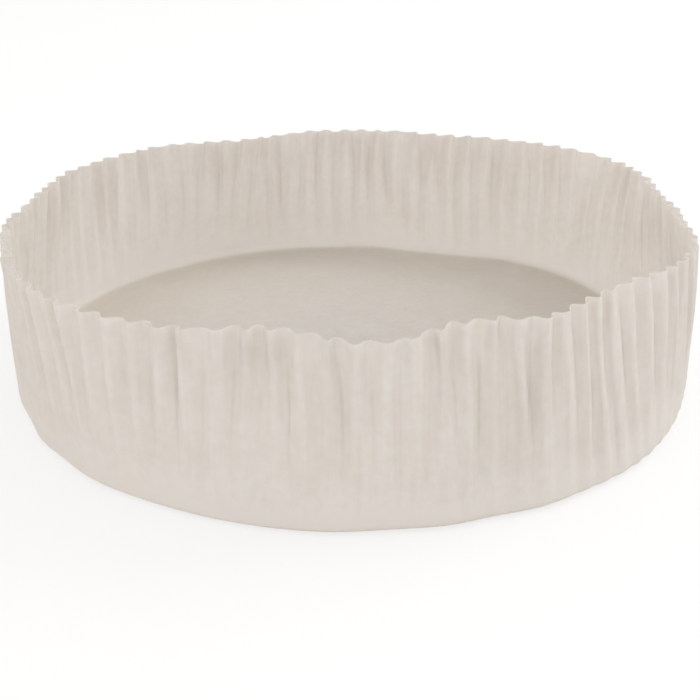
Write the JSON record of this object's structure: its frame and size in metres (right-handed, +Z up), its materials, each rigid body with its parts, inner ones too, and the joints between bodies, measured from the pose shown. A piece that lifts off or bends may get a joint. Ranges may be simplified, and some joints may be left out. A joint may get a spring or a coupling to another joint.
{
  "type": "cake liner",
  "caption": "Round paper cake liner with a low bowed floor and a tall fluted wall, softly pressed out of round.",
  "frame": {"origin": "middle of the liner as seen from above, on the surface that it stands on", "axes": "+Z up through the open mouth, -Y towards the side that faces the viewer in the picture, +X to the viewer's right"},
  "size_m": [0.2046, 0.2054, 0.048],
  "materials": {
    "paper": "matt, warm off-white greaseproof paper, slightly translucent"
  },
  "bodies": {
    "root": {"paper_liner": "paper"}
  },
  "joints": []
}
